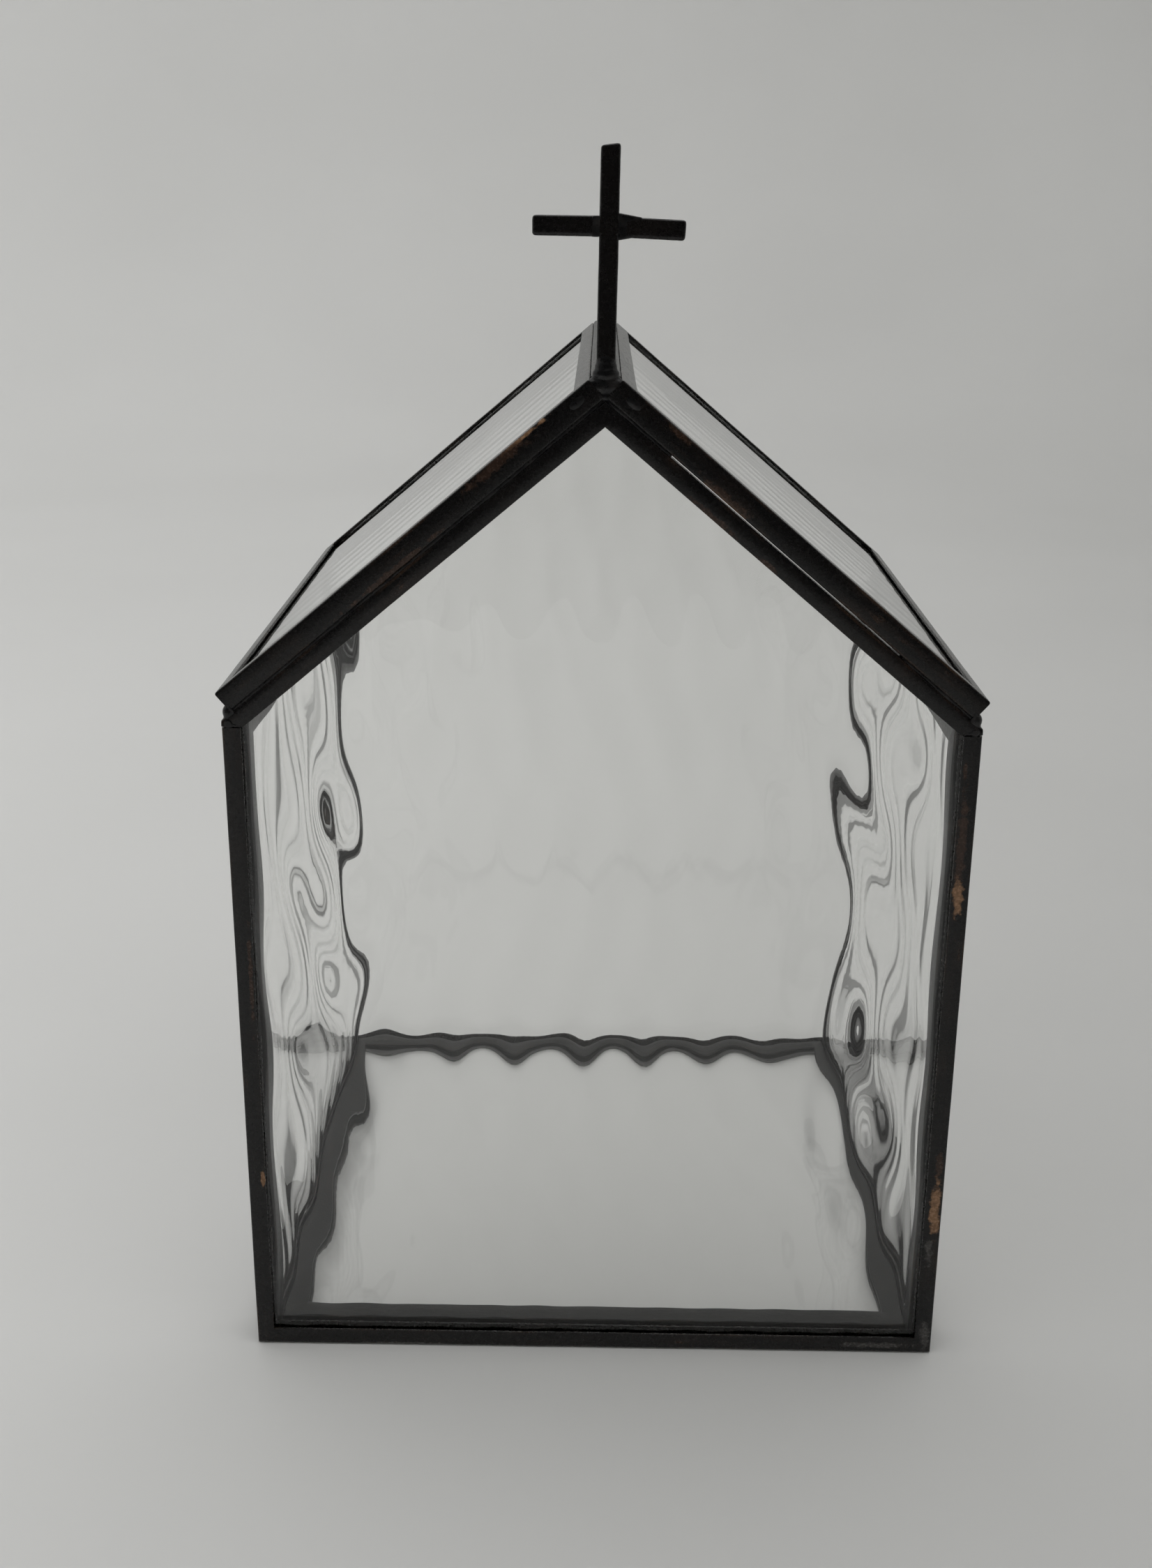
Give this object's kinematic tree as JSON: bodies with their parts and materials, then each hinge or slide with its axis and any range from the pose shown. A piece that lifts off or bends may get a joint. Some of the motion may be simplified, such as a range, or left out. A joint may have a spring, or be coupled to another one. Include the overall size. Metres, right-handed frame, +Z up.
{
  "type": "glass cloche",
  "caption": "Gabled glass cover with a cross on its ridge, framed in dark soldered brass channel, lifting off a framed glass base.",
  "frame": {"origin": "at table height under the middle of the cover", "axes": "+Z up; the front gable, which carries the cross, faces -Y; +X is to the right seen from the front"},
  "size_m": [0.1524, 0.1474, 0.2527],
  "materials": {
    "drawn_glass": "clear drawn glass with soft waves and a faint green-grey tint",
    "patinated_brass": "near-black patina, satin, worn to bronze in patches",
    "patinated_solder": "near-black patina, satin, smooth where it flowed"
  },
  "bodies": {
    "base": {"base_back_came": "patinated_brass", "base_front_came": "patinated_brass", "base_glass": "drawn_glass", "base_left_came": "patinated_brass", "base_right_came": "patinated_brass"},
    "cover": {"back_bottom_came": "patinated_brass", "back_glass": "drawn_glass", "back_left_came": "patinated_brass", "back_left_slope_came": "patinated_brass", "back_right_came": "patinated_brass", "back_right_slope_came": "patinated_brass", "cross_collar_solder": "patinated_solder", "cross_left_arm": "patinated_brass", "cross_left_solder": "patinated_solder", "cross_post": "patinated_brass", "cross_right_arm": "patinated_brass", "cross_right_solder": "patinated_solder", "front_bottom_came": "patinated_brass", "front_glass": "drawn_glass", "front_left_came": "patinated_brass", "front_left_slope_came": "patinated_brass", "front_right_came": "patinated_brass", "front_right_slope_came": "patinated_brass", "left_eave_solder": "patinated_solder", "left_roof_back_came": "patinated_brass", "left_roof_eave_came": "patinated_brass", "left_roof_front_came": "patinated_brass", "left_roof_glass": "drawn_glass", "left_roof_ridge_came": "patinated_brass", "left_wall_back_came": "patinated_brass", "left_wall_bottom_came": "patinated_brass", "left_wall_front_came": "patinated_brass", "left_wall_glass": "drawn_glass", "left_wall_top_came": "patinated_brass", "ridge_solder": "patinated_solder", "right_eave_solder": "patinated_solder", "right_roof_back_came": "patinated_brass", "right_roof_eave_came": "patinated_brass", "right_roof_front_came": "patinated_brass", "right_roof_glass": "drawn_glass", "right_roof_ridge_came": "patinated_brass", "right_wall_back_came": "patinated_brass", "right_wall_bottom_came": "patinated_brass", "right_wall_front_came": "patinated_brass", "right_wall_glass": "drawn_glass", "right_wall_top_came": "patinated_brass"}
  },
  "joints": [
    {"name": "cover_lift", "type": "slide", "parent": "base", "child": "cover", "axis": [0, 0, 1], "range_m": [0, 0.22]}
  ]
}
